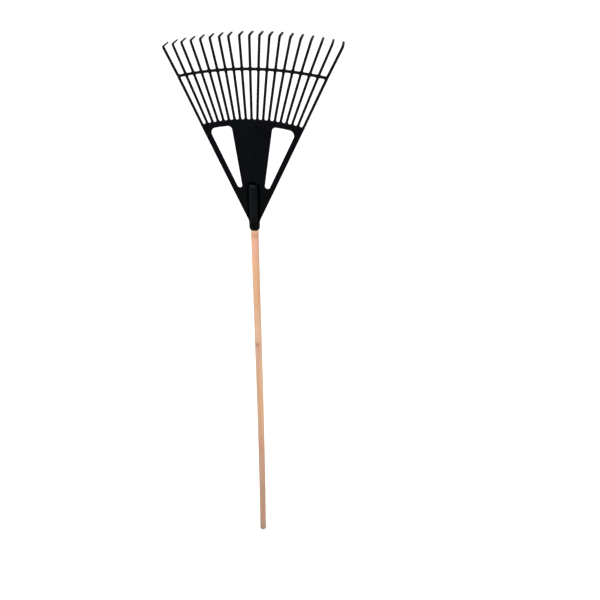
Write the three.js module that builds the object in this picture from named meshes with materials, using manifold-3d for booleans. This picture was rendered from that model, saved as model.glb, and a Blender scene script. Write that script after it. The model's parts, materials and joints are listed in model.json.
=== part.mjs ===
// Leaf rake: a round wooden handle, a moulded fan head with nineteen sprung tines, and the screw that holds
// the head on the handle.
// Millimetres. +Z runs up the handle to the fan, +X across the fan, and the hooks of the tines point to +Y.
// The origin is the centre of the flat on the handle's lower end.
//
// On the real rake the head is one moulding. Here it is divided where it flexes: a rigid head, the lower
// tines with the crossbar, and the free hooked ends, so that each can turn where it really bends.
import * as THREE from "three";
import { mergeVertices } from "three/addons/utils/BufferGeometryUtils.js";
import Module from "manifold-3d";

const wasm = await Module();
wasm.setup();

// ---- Driving dimensions ----

const HANDLE_DIAMETER = 23.8; // standard 15/16 inch pole stock
const HANDLE_LENGTH = 1400;
const HANDLE_INSERTION = 95; // length of the handle inside the socket
const BUTT_ROUNDING = 8; // radius of the rounded edge at the lower end
const TOP_CHAMFER = 2;

const TINE_COUNT = 19;
const FAN_HALF_ANGLE = 25.5; // degrees from the handle's line to the outermost tines
const FAN_CENTRE_SPREAD = 0.025; // how much wider the tines stand near the middle than at an even pitch
const APEX_BELOW_MOUTH = 3; // the lines of all tines meet here, just under the socket's mouth

// The roots, the crossbar and the bends lie on three arcs. Reach is the distance from the apex to the arc
// along the handle's line. Radius is the arc's own radius, and it is larger than the reach, so the arcs are
// flatter than circles about the apex.
const ROOT_ARC = { reach: 334.8, radius: 604 };
const CROSSBAR_ARC = { reach: 468, radius: 1093 };
const BEND_ARC = { reach: 552, radius: 1152 };

const TINE_WIDTH = 7.2;
const OUTER_TINE_WIDTH = 7.8; // the first and the last tine are a little wider
const TINE_DEPTH = 4.4;
const TIP_DEPTH = 4.2;
const TIP_END_DEPTH = 3.4;
const TINE_EDGE = 0.7; // chamfer on the long edges of a tine
const HOOK_LENGTH = 36.5; // from the bend's corner to the end
const HOOK_ANGLE = 77; // degrees that the hook turns away from its tine
const HOOK_BEND_RADIUS = 7;
const HOOK_LEAN = 6; // degrees that the outermost hooks lean towards the middle, the others in proportion
const TIP_SPLAY = 0.055; // share by which the free ends stand wider than the lower tines

const CROSSBAR_HEIGHT = 8;
const CROSSBAR_DEPTH = 6;
const CROSSBAR_EDGE = 0.8;

const ROOT_GAP = 1; // room for the fan to flex at its root
const TIP_GAP = 1.2; // room for a tip to flex at the crossbar
const FIXED_GAP = 0.3; // between nodes of the moulding that never move on each other

const PLATE_THICKNESS = 5;
const PLATE_EDGE = 0.8;
const ARM_EDGE_ANGLE = 26; // degrees from the handle's line to the outer edge of an arm
const ARM_EDGE_BELOW_MOUTH = 5; // where the two outer edges would meet
const PLATE_START = 24; // height of the plate's lower end above the mouth
const BAND_HEIGHT = 16; // from the windows' top edge to the root arc
const RIM_WIDTH = 3;
const FRONT_RIM_HEIGHT = 0.7; // how much the rims stand proud of the plate
const BACK_RIM_HEIGHT = 1.6;

const COLLAR_RADIUS = 16.75;
const COLLAR_LENGTH = 32;
const COLLAR_LIP_RADIUS = 4.5; // bull-nosed lip at the mouth
const BORE_CLEARANCE = 0.3;
const BOSS_RADIUS = 16.4; // the boss is half round on both faces of the plate
const BOSS_FOOT_ANGLE = 25; // degrees above the plate where the boss starts to spread into it
const BOSS_FOOT_HALF_WIDTH = 20;
const BOSS_START = 20;
const BOSS_CREST_END = 137;
const BOSS_CHAMFER_END = 145;
const BOSS_CHAMFER_DROP = 5;
const BOSS_FOOT_END = 151;

const SCREW_HEIGHT = 14; // above the mouth
const SCREW_HEAD_RADIUS = 4.2;
const SCREW_HEAD_HEIGHT = 2.6;
const SCREW_HEAD_EDGE = 0.9; // chamfer round the head
const SCREW_SHANK_RADIUS = 1.9;
const SCREW_SHANK_LENGTH = 18;
const SCREW_POINT_LENGTH = 4;
const SCREW_RECESS_WIDTH = 1.1;
const SCREW_RECESS_LENGTH = 4.6;
const SCREW_RECESS_DEPTH = 1.6;
const PAD_RADIUS = 6.2; // flat seat for the screw head on the back of the collar
const PAD_HEIGHT = 1;

// How many flat steps stand for one full turn of the round parts.
const POLE_SEGMENTS = 40;
const BOSS_SEGMENTS = 14; // for the boss's arc on one face
const SCREW_SEGMENTS = 24;
const HOLE_SEGMENTS = 16;

// ---- Derived places ----

const MOUTH_Z = HANDLE_LENGTH - HANDLE_INSERTION;
const APEX_Z = MOUTH_Z - APEX_BELOW_MOUTH;
const HANDLE_RADIUS = HANDLE_DIAMETER / 2;
const BORE_RADIUS = HANDLE_RADIUS + BORE_CLEARANCE;
const PAD_Y = COLLAR_RADIUS + PAD_HEIGHT;

const radians = THREE.MathUtils.degToRad;

// Angle of tine 1 to TINE_COUNT from the handle's line, negative on the left.
function tineAngle(number) {
  const s = (2 * (number - 1)) / (TINE_COUNT - 1) - 1;
  return radians(FAN_HALF_ANGLE) * (s + FAN_CENTRE_SPREAD * s * (1 - s * s));
}

function tineWidth(number) {
  return number === 1 || number === TINE_COUNT ? OUTER_TINE_WIDTH : TINE_WIDTH;
}

// Distance from the apex to an arc, along a line at the given angle from the handle's line.
function distanceToArc(arc, angle) {
  const centre = arc.reach - arc.radius;
  const along = centre * Math.cos(angle);
  return along + Math.sqrt(along * along + arc.radius * arc.radius - centre * centre);
}

// Sine of the angle between a tine and the line square to the arc where the two cross.
function crossingSlope(arc, angle) {
  const centre = arc.reach - arc.radius;
  return (-centre * Math.sin(angle)) / arc.radius;
}

// Height above the mouth of the root arc, lowered by drop, at x.
function rootArcHeight(x, drop = 0) {
  const radius = ROOT_ARC.radius - drop;
  return ROOT_ARC.reach - ROOT_ARC.radius - APEX_BELOW_MOUTH + Math.sqrt(radius * radius - x * x);
}

// ---- Solids and geometry ----

function toSolid(geometry) {
  const bare = geometry.clone();
  bare.deleteAttribute("normal");
  bare.deleteAttribute("uv");
  const merged = mergeVertices(bare, 1e-4);
  return new wasm.Manifold(
    new wasm.Mesh({
      numProp: 3,
      vertProperties: merged.attributes.position.array,
      triVerts: new Uint32Array(merged.index.array),
    }),
  );
}

function toGeometry(solid) {
  const mesh = solid.getMesh();
  const geometry = new THREE.BufferGeometry();
  geometry.setAttribute("position", new THREE.BufferAttribute(mesh.vertProperties, 3));
  geometry.setIndex(new THREE.BufferAttribute(mesh.triVerts, 1));
  geometry.computeVertexNormals();
  return geometry;
}

function joined(geometries) {
  return geometries.map(toSolid).reduce((whole, solid) => whole.add(solid));
}

// A closed outline through corners [x, y, radius], each rounded by its radius.
function roundedOutline(corners, path = new THREE.Shape()) {
  const count = corners.length;
  corners.forEach(([x, y, radius], index) => {
    const before = corners[(index + count - 1) % count];
    const after = corners[(index + 1) % count];
    const corner = new THREE.Vector2(x, y);
    const back = new THREE.Vector2(before[0] - x, before[1] - y).normalize();
    const ahead = new THREE.Vector2(after[0] - x, after[1] - y).normalize();
    const half = Math.acos(THREE.MathUtils.clamp(back.dot(ahead), -1, 1)) / 2;
    const start = corner.clone().addScaledVector(back, radius / Math.tan(half));
    if (index === 0) path.moveTo(start.x, start.y);
    else path.lineTo(start.x, start.y);
    if (radius > 0) {
      const middle = back.clone().add(ahead).normalize();
      const centre = corner.clone().addScaledVector(middle, radius / Math.sin(half));
      const end = corner.clone().addScaledVector(ahead, radius / Math.tan(half));
      const from = Math.atan2(start.y - centre.y, start.x - centre.x);
      const to = Math.atan2(end.y - centre.y, end.x - centre.x);
      path.absarc(centre.x, centre.y, radius, from, to, back.cross(ahead) > 0);
    }
  });
  path.closePath();
  return path;
}

// The corners of an outline, which run anticlockwise, moved outwards by distance (inwards when negative).
function offsetCorners(corners, distance) {
  const count = corners.length;
  return corners.map(([x, y, radius], index) => {
    const before = corners[(index + count - 1) % count];
    const after = corners[(index + 1) % count];
    const incoming = new THREE.Vector2(x - before[0], y - before[1]).normalize();
    const outgoing = new THREE.Vector2(after[0] - x, after[1] - y).normalize();
    const shift = new THREE.Vector2(incoming.y + outgoing.y, -incoming.x - outgoing.x);
    shift.multiplyScalar(distance / (1 + incoming.dot(outgoing)));
    return [x + shift.x, y + shift.y, Math.max(radius + distance, 0)];
  });
}

// A shape drawn in the plane of the fan (x, height above the mouth), from y = back to y = front.
function flatGeometry(shape, front, back, edge = 0, curveSegments = 6) {
  const geometry = new THREE.ExtrudeGeometry(shape, {
    depth: back - front - 2 * edge,
    bevelEnabled: edge > 0,
    bevelThickness: edge,
    bevelSize: edge,
    bevelOffset: -edge,
    bevelSegments: 1,
    curveSegments,
  });
  geometry.rotateX(Math.PI / 2);
  geometry.translate(0, back - edge, MOUTH_Z);
  return geometry;
}

// ---- Handle ----

function handleGeometry() {
  const flat = HANDLE_RADIUS - BUTT_ROUNDING;
  const profile = new THREE.Path();
  profile.moveTo(0, 0);
  profile.lineTo(flat, 0);
  profile.absarc(flat, BUTT_ROUNDING, BUTT_ROUNDING, -Math.PI / 2, 0, false);
  profile.lineTo(HANDLE_RADIUS, HANDLE_LENGTH - TOP_CHAMFER);
  profile.lineTo(HANDLE_RADIUS - TOP_CHAMFER, HANDLE_LENGTH);
  profile.lineTo(0, HANDLE_LENGTH);
  const pole = new THREE.LatheGeometry(profile.getPoints(6), POLE_SEGMENTS);
  pole.rotateX(Math.PI / 2);
  const pilotRadius = SCREW_SHANK_RADIUS + BORE_CLEARANCE;
  const pilotEnd = PAD_Y - SCREW_SHANK_LENGTH - BORE_CLEARANCE;
  const pilot = new THREE.CylinderGeometry(pilotRadius, pilotRadius, HANDLE_DIAMETER, HOLE_SEGMENTS);
  pilot.translate(0, pilotEnd + HANDLE_RADIUS, MOUTH_Z + SCREW_HEIGHT);
  return toGeometry(toSolid(pole).subtract(toSolid(pilot)));
}

// ---- Rigid part of the head ----

function armEdgeX(height) {
  return (height + ARM_EDGE_BELOW_MOUTH) * Math.tan(radians(ARM_EDGE_ANGLE));
}

// Corners of the plate: two straight outer edges, and the root arc between their upper ends.
function plateCorners() {
  const shoulder = 312;
  const arcSteps = 16;
  const half = armEdgeX(shoulder);
  const corners = [[armEdgeX(PLATE_START), PLATE_START, 0]];
  for (let step = 0; step <= arcSteps; step += 1) {
    const x = half * (1 - (2 * step) / arcSteps);
    corners.push([x, rootArcHeight(x), 0]);
  }
  corners.push([-armEdgeX(PLATE_START), PLATE_START, 0]);
  return corners;
}

// Corners of the window on the right: its web edge leans out a little, and its outer edge follows the arm.
function windowCorners() {
  const armWidth = 16.2;
  const bottom = 132;
  const webBottomX = 33.6;
  const webTopX = 60.5;
  const bottomRadius = 8;
  const topInnerRadius = 12;
  const topOuterRadius = 15;
  const armInnerX = (height) => armEdgeX(height) - armWidth / Math.cos(radians(ARM_EDGE_ANGLE));
  const outerTopX = 131;
  const topMiddleX = (webTopX + outerTopX) / 2;
  return [
    [webBottomX, bottom, bottomRadius],
    [armInnerX(bottom), bottom, bottomRadius],
    [outerTopX, rootArcHeight(outerTopX, BAND_HEIGHT), topOuterRadius],
    [topMiddleX, rootArcHeight(topMiddleX, BAND_HEIGHT), 0],
    [webTopX, rootArcHeight(webTopX, BAND_HEIGHT), topInnerRadius],
  ];
}

function mirrored(corners) {
  return corners.map(([x, y, radius]) => [-x, y, radius]).reverse();
}

function plateGeometry() {
  const shape = roundedOutline(plateCorners());
  for (const corners of [windowCorners(), mirrored(windowCorners())]) {
    shape.holes.push(roundedOutline(corners, new THREE.Path()));
  }
  return flatGeometry(shape, -PLATE_THICKNESS / 2, PLATE_THICKNESS / 2, PLATE_EDGE);
}

// Low rims on both faces of the plate: one inside its outer edge and one round each window.
function rimGeometries() {
  const rings = [
    [plateCorners(), offsetCorners(plateCorners(), -RIM_WIDTH)],
    [offsetCorners(windowCorners(), RIM_WIDTH), windowCorners()],
    [offsetCorners(mirrored(windowCorners()), RIM_WIDTH), mirrored(windowCorners())],
  ];
  return rings.map(([outside, inside]) => {
    const shape = roundedOutline(offsetCorners(outside, -PLATE_EDGE / 2));
    shape.holes.push(roundedOutline(offsetCorners(inside, PLATE_EDGE / 2), new THREE.Path()));
    const face = PLATE_THICKNESS / 2;
    return flatGeometry(shape, -face - FRONT_RIM_HEIGHT, face + BACK_RIM_HEIGHT);
  });
}

// The half-round boss that covers the handle's end, on both faces of the plate.
function bossSolid() {
  const chamferedY = BOSS_RADIUS - BOSS_CHAMFER_DROP;
  const foot = PLATE_THICKNESS / 2;
  const from = radians(BOSS_FOOT_ANGLE);
  const section = new THREE.Shape();
  section.moveTo(-BOSS_FOOT_HALF_WIDTH, -foot);
  section.absarc(0, 0, BOSS_RADIUS, from - Math.PI, -from, false);
  section.lineTo(BOSS_FOOT_HALF_WIDTH, -foot);
  section.lineTo(BOSS_FOOT_HALF_WIDTH, foot);
  section.absarc(0, 0, BOSS_RADIUS, from, Math.PI - from, false);
  section.lineTo(-BOSS_FOOT_HALF_WIDTH, foot);
  const prism = new THREE.ExtrudeGeometry(section, {
    depth: BOSS_FOOT_END - BOSS_START,
    bevelEnabled: false,
    curveSegments: BOSS_SEGMENTS,
  });
  prism.translate(0, 0, MOUTH_Z + BOSS_START);

  // Side view, (height, y), which slopes both faces down to the plate at the upper end.
  const side = new THREE.Shape();
  side.moveTo(BOSS_START, -BOSS_RADIUS);
  side.lineTo(BOSS_CREST_END, -BOSS_RADIUS);
  side.lineTo(BOSS_CHAMFER_END, -chamferedY);
  side.lineTo(BOSS_FOOT_END, -foot);
  side.lineTo(BOSS_FOOT_END, foot);
  side.lineTo(BOSS_CHAMFER_END, chamferedY);
  side.lineTo(BOSS_CREST_END, BOSS_RADIUS);
  side.lineTo(BOSS_START, BOSS_RADIUS);
  const slope = new THREE.ExtrudeGeometry(side, { depth: 2 * BOSS_FOOT_HALF_WIDTH, bevelEnabled: false });
  slope.rotateY(-Math.PI / 2);
  slope.translate(BOSS_FOOT_HALF_WIDTH, 0, MOUTH_Z);

  // The arms' outer edges trim the flanks where the boss is wider than the plate.
  const fullDepth = 2 * COLLAR_RADIUS;
  const trim = flatGeometry(roundedOutline(plateCorners()), -fullDepth, fullDepth);
  return toSolid(prism).intersect(toSolid(slope)).intersect(toSolid(trim));
}

function collarGeometry() {
  const lip = COLLAR_LIP_RADIUS;
  const profile = new THREE.Path();
  profile.moveTo(0, 0);
  profile.lineTo(COLLAR_RADIUS - lip, 0);
  profile.absarc(COLLAR_RADIUS - lip, lip, lip, -Math.PI / 2, 0, false);
  profile.lineTo(COLLAR_RADIUS, COLLAR_LENGTH);
  profile.lineTo(0, COLLAR_LENGTH);
  const collar = new THREE.LatheGeometry(profile.getPoints(5), POLE_SEGMENTS);
  collar.rotateX(Math.PI / 2);
  collar.translate(0, 0, MOUTH_Z);
  return collar;
}

function screwPadGeometry() {
  const pad = new THREE.CylinderGeometry(PAD_RADIUS, PAD_RADIUS, PAD_Y, SCREW_SEGMENTS);
  pad.translate(0, PAD_Y / 2, MOUTH_Z + SCREW_HEIGHT);
  return pad;
}

function rakeHeadGeometry() {
  const body = joined([plateGeometry(), ...rimGeometries(), collarGeometry(), screwPadGeometry()]);
  const boreLength = HANDLE_INSERTION + BORE_CLEARANCE;
  const bore = new THREE.CylinderGeometry(BORE_RADIUS, BORE_RADIUS, 2 * boreLength, POLE_SEGMENTS);
  bore.rotateX(Math.PI / 2);
  bore.translate(0, 0, MOUTH_Z);
  const holeRadius = SCREW_SHANK_RADIUS + BORE_CLEARANCE;
  const hole = new THREE.CylinderGeometry(holeRadius, holeRadius, 2 * COLLAR_RADIUS, HOLE_SEGMENTS);
  hole.translate(0, COLLAR_RADIUS, MOUTH_Z + SCREW_HEIGHT);
  return toGeometry(body.add(bossSolid()).subtract(toSolid(bore)).subtract(toSolid(hole)));
}

// ---- Fixing screw ----

function fixingScrewGeometry() {
  const seat = FIXED_GAP;
  const top = seat + SCREW_HEAD_HEIGHT;
  const profile = [
    new THREE.Vector2(0, -SCREW_SHANK_LENGTH),
    new THREE.Vector2(SCREW_SHANK_RADIUS, SCREW_POINT_LENGTH - SCREW_SHANK_LENGTH),
    new THREE.Vector2(SCREW_SHANK_RADIUS, seat),
    new THREE.Vector2(SCREW_HEAD_RADIUS, seat),
    new THREE.Vector2(SCREW_HEAD_RADIUS, top - SCREW_HEAD_EDGE),
    new THREE.Vector2(SCREW_HEAD_RADIUS - SCREW_HEAD_EDGE, top),
    new THREE.Vector2(0, top),
  ];
  const recessHeight = 2 * SCREW_RECESS_DEPTH;
  const slot = new THREE.BoxGeometry(SCREW_RECESS_LENGTH, recessHeight, SCREW_RECESS_WIDTH);
  const cross = new THREE.BoxGeometry(SCREW_RECESS_WIDTH, recessHeight, SCREW_RECESS_LENGTH);
  slot.translate(0, top, 0);
  cross.translate(0, top, 0);
  const screw = toSolid(new THREE.LatheGeometry(profile, SCREW_SEGMENTS)).subtract(joined([slot, cross]));
  return toGeometry(screw).translate(0, PAD_Y, MOUTH_Z + SCREW_HEIGHT);
}

// ---- Lower tines ----

// A tine's own frame has its origin at the apex, +Z along the tine and +Y towards the hooks' side.
function lowerTineGeometry(number) {
  const angle = tineAngle(number);
  const width = tineWidth(number);
  const slopeRoom = Math.abs(crossingSlope(CROSSBAR_ARC, angle)) * (width / 2);
  const rootRoom = Math.abs(crossingSlope(ROOT_ARC, angle)) * (width / 2);
  const start = distanceToArc(ROOT_ARC, angle) + ROOT_GAP + rootRoom;
  const end = distanceToArc(CROSSBAR_ARC, angle) - CROSSBAR_HEIGHT / 2 - FIXED_GAP - slopeRoom;
  const halfWidth = width / 2;
  const halfDepth = TINE_DEPTH / 2;
  const section = roundedOutline([
    [-halfWidth, -halfDepth, TINE_EDGE],
    [halfWidth, -halfDepth, TINE_EDGE],
    [halfWidth, halfDepth, TINE_EDGE],
    [-halfWidth, halfDepth, TINE_EDGE],
  ]);
  const tine = new THREE.ExtrudeGeometry(section, {
    depth: end - start,
    bevelEnabled: false,
    curveSegments: 1,
  });
  tine.translate(0, 0, start);
  return tine;
}

// ---- Crossbar ----

function crossbarGeometry() {
  const { reach, radius } = CROSSBAR_ARC;
  const lastAngle = tineAngle(TINE_COUNT);
  const endX = distanceToArc(CROSSBAR_ARC, lastAngle) * Math.sin(lastAngle);
  const sweep = Math.asin(endX / radius);
  const half = CROSSBAR_HEIGHT / 2;
  const centreHeight = reach - radius - APEX_BELOW_MOUTH;
  const from = Math.PI / 2 - sweep;
  const to = Math.PI / 2 + sweep;
  const capX = radius * Math.sin(sweep);
  const capHeight = centreHeight + radius * Math.cos(sweep);
  const shape = new THREE.Shape();
  shape.absarc(0, centreHeight, radius + half, from, to, false);
  shape.absarc(-capX, capHeight, half, to, to + Math.PI, false);
  shape.absarc(0, centreHeight, radius - half, to, from, true);
  shape.absarc(capX, capHeight, half, from - Math.PI, from, false);
  shape.closePath();
  return flatGeometry(shape, -CROSSBAR_DEPTH / 2, CROSSBAR_DEPTH / 2, CROSSBAR_EDGE, 18);
}

// ---- Hooked tips ----

// The outline of a strip that follows stations { z, y, turn, half }. Turn is the angle from +Z towards +Y,
// and half is half of the strip's depth. Both ends are round.
function stripOutline(stations) {
  const capSteps = 4;
  const side = ({ z, y, turn, half }, across) =>
    new THREE.Vector2(z + across * half * Math.sin(turn), y - across * half * Math.cos(turn));
  const cap = ({ z, y, half }, from) =>
    Array.from({ length: capSteps - 1 }, (_, index) => {
      const a = from + (Math.PI * (index + 1)) / capSteps;
      return new THREE.Vector2(z + half * Math.cos(a), y + half * Math.sin(a));
    });
  const first = stations[0];
  const last = stations[stations.length - 1];
  return new THREE.Shape([
    ...stations.map((station) => side(station, 1)),
    ...cap(last, last.turn - Math.PI / 2),
    ...stations.map((station) => side(station, -1)).reverse(),
    ...cap(first, first.turn + Math.PI / 2),
  ]);
}

// Distance from the crossbar's middle to the line that the tip of a tine turns on, just past the crossbar.
function tipHingeDistance(number) {
  const slopeRoom = Math.abs(crossingSlope(CROSSBAR_ARC, tineAngle(number))) * (tineWidth(number) / 2);
  return CROSSBAR_HEIGHT / 2 + slopeRoom + TIP_GAP + TIP_DEPTH / 2;
}

// A tip's own frame has its origin where the tine crosses the crossbar.
function tineTipGeometry(number) {
  const bendSteps = 6;
  const turn = radians(HOOK_ANGLE);
  const angle = tineAngle(number);
  const corner = distanceToArc(BEND_ARC, angle) - distanceToArc(CROSSBAR_ARC, angle);
  const setback = HOOK_BEND_RADIUS * Math.tan(turn / 2);
  const stations = [{ z: tipHingeDistance(number), y: 0, turn: 0, half: TIP_DEPTH / 2 }];
  for (let step = 0; step <= bendSteps; step += 1) {
    const a = (turn * step) / bendSteps;
    stations.push({
      z: corner - setback + HOOK_BEND_RADIUS * Math.sin(a),
      y: HOOK_BEND_RADIUS * (1 - Math.cos(a)),
      turn: a,
      half: TIP_DEPTH / 2,
    });
  }
  const endHalf = TIP_END_DEPTH / 2;
  const reach = HOOK_LENGTH - endHalf;
  stations.push({ z: corner + reach * Math.cos(turn), y: reach * Math.sin(turn), turn, half: endHalf });
  const width = tineWidth(number);
  const tip = new THREE.ExtrudeGeometry(stripOutline(stations), {
    depth: width - 2 * TINE_EDGE,
    bevelEnabled: true,
    bevelThickness: TINE_EDGE,
    bevelSize: TINE_EDGE,
    bevelOffset: -TINE_EDGE,
    bevelSegments: 1,
  });
  tip.rotateY(-Math.PI / 2);
  tip.translate(width / 2 - TINE_EDGE, 0, 0);
  const lean = (radians(HOOK_LEAN) * angle) / radians(FAN_HALF_ANGLE);
  return tip.applyMatrix4(new THREE.Matrix4().makeShear(0, 0, -Math.tan(lean), 0, 0, 0));
}

// ---- Materials ----

const wood = () => new THREE.MeshStandardMaterial({ color: 0xdcae88, roughness: 0.62 });
const blackPlastic = () => new THREE.MeshStandardMaterial({ color: 0x101113, roughness: 0.5 });
const steel = () => new THREE.MeshStandardMaterial({ color: 0xb4b8bc, roughness: 0.35, metalness: 1 });

// ---- Assembly ----

function piece(name, geometry, material) {
  const mesh = new THREE.Mesh(geometry, material);
  mesh.name = name;
  return mesh;
}

// The mesh moved to a distance from the apex along the numbered tine, with its +Z turned to the given angle.
function placedOnTine(number, distance, angle, mesh) {
  const along = tineAngle(number);
  mesh.position.set(distance * Math.sin(along), 0, APEX_Z + distance * Math.cos(along));
  mesh.rotation.y = angle;
  return mesh;
}

const rake = new THREE.Group();
rake.add(
  piece("handle", handleGeometry(), wood()),
  piece("rake_head", rakeHeadGeometry(), blackPlastic()),
  piece("fixing_screw", fixingScrewGeometry(), steel()),
  piece("crossbar", crossbarGeometry(), blackPlastic()),
);
for (let number = 1; number <= TINE_COUNT; number += 1) {
  const suffix = String(number).padStart(2, "0");
  const angle = tineAngle(number);
  const tine = piece(`tine_${suffix}`, lowerTineGeometry(number), blackPlastic());
  const tip = piece(`tine_tip_${suffix}`, tineTipGeometry(number), blackPlastic());
  rake.add(
    placedOnTine(number, 0, angle, tine),
    placedOnTine(number, distanceToArc(CROSSBAR_ARC, angle), angle * (1 + TIP_SPLAY), tip),
  );
}

export default rake;
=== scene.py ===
"""A leaf rake: the looks of its moulded fan head, sprung tines, wooden handle and fixing screw."""

import json
import math

import bmesh
import bpy
import numpy as np
from mathutils import Matrix, Vector
from mathutils.geometry import delaunay_2d_cdt


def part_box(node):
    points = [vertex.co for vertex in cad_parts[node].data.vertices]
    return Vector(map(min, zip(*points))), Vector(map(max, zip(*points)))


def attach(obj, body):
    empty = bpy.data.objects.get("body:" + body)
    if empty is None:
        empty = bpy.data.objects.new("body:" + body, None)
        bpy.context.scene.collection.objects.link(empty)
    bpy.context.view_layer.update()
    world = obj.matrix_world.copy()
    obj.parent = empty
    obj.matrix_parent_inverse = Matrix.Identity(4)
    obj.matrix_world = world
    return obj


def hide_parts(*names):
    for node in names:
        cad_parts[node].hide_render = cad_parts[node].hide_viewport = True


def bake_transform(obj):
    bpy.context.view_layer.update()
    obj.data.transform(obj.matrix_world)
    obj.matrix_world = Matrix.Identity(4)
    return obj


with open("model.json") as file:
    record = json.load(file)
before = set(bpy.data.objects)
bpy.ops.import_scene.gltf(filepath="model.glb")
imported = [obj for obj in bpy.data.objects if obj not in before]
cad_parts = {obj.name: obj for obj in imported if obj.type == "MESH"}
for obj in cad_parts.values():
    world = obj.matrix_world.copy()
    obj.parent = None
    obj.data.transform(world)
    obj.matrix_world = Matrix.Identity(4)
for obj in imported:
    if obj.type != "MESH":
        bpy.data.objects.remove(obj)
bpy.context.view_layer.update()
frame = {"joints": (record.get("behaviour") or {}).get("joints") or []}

# Shapes are worked out in millimetres in the row's frame, and become metres when a mesh is made.
MM = 0.001

# ---- The rake's own measures ----

handle_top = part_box("handle")[1]
HANDLE_RADIUS = handle_top.x / MM
HANDLE_LENGTH = handle_top.z / MM
MOUTH_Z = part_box("rake_head")[0].z / MM  # the socket's mouth
BUTT_ROUNDING = 8
TOP_CHAMFER = 2
HANDLE_BOW = (2.4, 0.5)  # heights of the half wave and the full wave in which the pole has bent to the right
BORE_RADIUS = HANDLE_RADIUS + 0.3
BORE_LENGTH = HANDLE_LENGTH - MOUTH_Z + 0.3

APEX_Z = MOUTH_Z - 3  # the lines of all tines meet here
ROOT_ARC = (334.8, 604)  # distance from the apex along the handle's line, and the arc's own radius
CROSSBAR_ARC = (468, 1093)
BEND_ARC = (552, 1152)
ARM_EDGE_ANGLE = math.radians(26)
ARM_EDGE_BELOW_MOUTH = 5
ARM_WIDTH = 16.2
BAND_HEIGHT = 16

WINDOW_BOTTOM = 132  # above the socket's mouth
WINDOW_TOP_OUTER_X = 131
WEB_HALF_WIDTHS = (33.6, 60.5)  # between the windows, at their bottom and at their top
WINDOW_BOTTOM_RADIUS = 8
WINDOW_TOP_RADII = (15, 12)  # at the arm and at the web

TINE_WIDTH = 7.2
OUTER_TINE_WIDTH = 7.8
TINE_DEPTH = 4.4
TINE_EDGE = 1.1
TIP_DEPTH = 4.2
TIP_SPLAY = 0.055  # share by which the free ends stand wider than the lower tines
HOOK_END_WIDTH = 6.2
HOOK_END_DEPTH = 3.3
HOOK_LENGTH = 36.3
HOOK_ANGLE = math.radians(77)
HOOK_LEANS = (math.radians(6), math.radians(12))  # of the outermost hooks, left and right, inwards
HOOK_LEAN_GROWTH = 1.5  # the other hooks lean by this power of their share of the fan's half angle
HOOK_BEND_RADIUS = 7
TIP_NARROWING = 0.3  # from the crossbar to the hook's bend
TIP_EDGE = 1.0
CROSSBAR_HEIGHT = 7.6
CROSSBAR_DEPTH = 6
CROSSBAR_EDGE = 1.5
CROSSBAR_ENDS = ((0.7, 0.93), (1.5, 0.75), (1.9, 0.5))  # (distance past the last tine, share of its section)
FILLET = 3.8  # between the crossbar and the tines
OVERLAP = 0.4  # how far the tines' outlines reach into the crossbar
# Tines that use has pushed sideways above the crossbar: degrees, positive to the right.
PUSHED_TIPS = {2: 1.1, 7: -0.8, 8: -2.0, 12: -0.5, 13: -0.6}

PLATE_THICKNESS = 5
PLATE_BOTTOM = 24  # above the socket's mouth
PLATE_SHOULDER = 309
PLATE_CORNER = 5
RIM_WIDTH = 3
FRONT_RIM = 0.7
BACK_RIM = 1.6
COLLAR_RADIUS = 16.75
COLLAR_END = 25  # above the socket's mouth, like the boss's start and ends below
COLLAR_LIP = (8, 12)  # how far the lip's rounding runs inwards from the side, and up from the mouth
BOSS_RADIUS = 16.4  # the boss is half round on both faces of the plate
BOSS_FOOT_ANGLE = 25  # degrees above the plate where it starts to spread into it
BOSS_FOOT_HALF_WIDTH = 21.5
BOSS_FOOT_SINK = 0.4  # how far the foot's edge lies below the plate's face
BOSS_PAINTED_HIGHLIGHT_X = (-11.2, 13.4)  # the crest's glossier plastic with its painted highlight, and the chamfer's brighter painted highlight, lie between these x
BOSS_START = 35
BOSS_CREST_END = 136
BOSS_CHAMFER_END = 145
BOSS_CHAMFER_DROP = 5
BOSS_FOOT_END = 151
BOSS_END_ROUNDING = 19  # radius of the corners of the boss's upper end, seen from the front

SCREW_Z = MOUTH_Z + 14
PAD_RADIUS = 6.2
PAD_START_Y = 12
PAD_Y = COLLAR_RADIUS + 1
PAD_EDGE = 0.7
SCREW_GAP = 0.3  # between the head and the pad
SCREW_HEAD_RADIUS = 4.2
SCREW_HEAD_HEIGHT = 2.6
SCREW_HEAD_RIM = 0.6  # height of the head's straight side
SCREW_HEAD_FLAT = 0.6  # radius of the flat on its top
SCREW_SHANK_RADIUS = 1.9
SCREW_SHANK_LENGTH = 18
SCREW_POINT_LENGTH = 4
RECESS_REACH = 2.3
RECESS_HALF_WIDTH = 0.55
RECESS_DEPTH = 1.7
RECESS_TAPER = 0.55  # size of the recess's floor as a share of its mouth

# ---- The row's bodies and hinges ----

RIGID = "handle_and_head"
tip_joints = [joint for joint in frame["joints"] if joint["name"].startswith("tip_flex")]
tip_joints.sort(key=lambda joint: joint["name"])
TIP_ANGLES = [math.atan2(-joint["axis"][2], joint["axis"][0]) for joint in tip_joints]
TINE_ANGLES = [angle / (1 + TIP_SPLAY) for angle in TIP_ANGLES]
TINE_COUNT = len(TINE_ANGLES)


def tine_width(index):
    return OUTER_TINE_WIDTH if index in (0, TINE_COUNT - 1) else TINE_WIDTH


def distance_to_arc(arc, angle):
    """Distance from the apex to an arc, along a line at angle from the handle's line."""
    reach, radius = arc
    centre = reach - radius
    along = centre * math.cos(angle)
    return along + math.sqrt(along * along + radius * radius - centre * centre)


def root_arc_z(x, drop=0):
    """Height of the arc of the tines' roots at x, or of the arc that runs drop below it."""
    reach, radius = ROOT_ARC
    return APEX_Z + reach - radius + math.sqrt((radius - drop) ** 2 - x * x)


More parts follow.
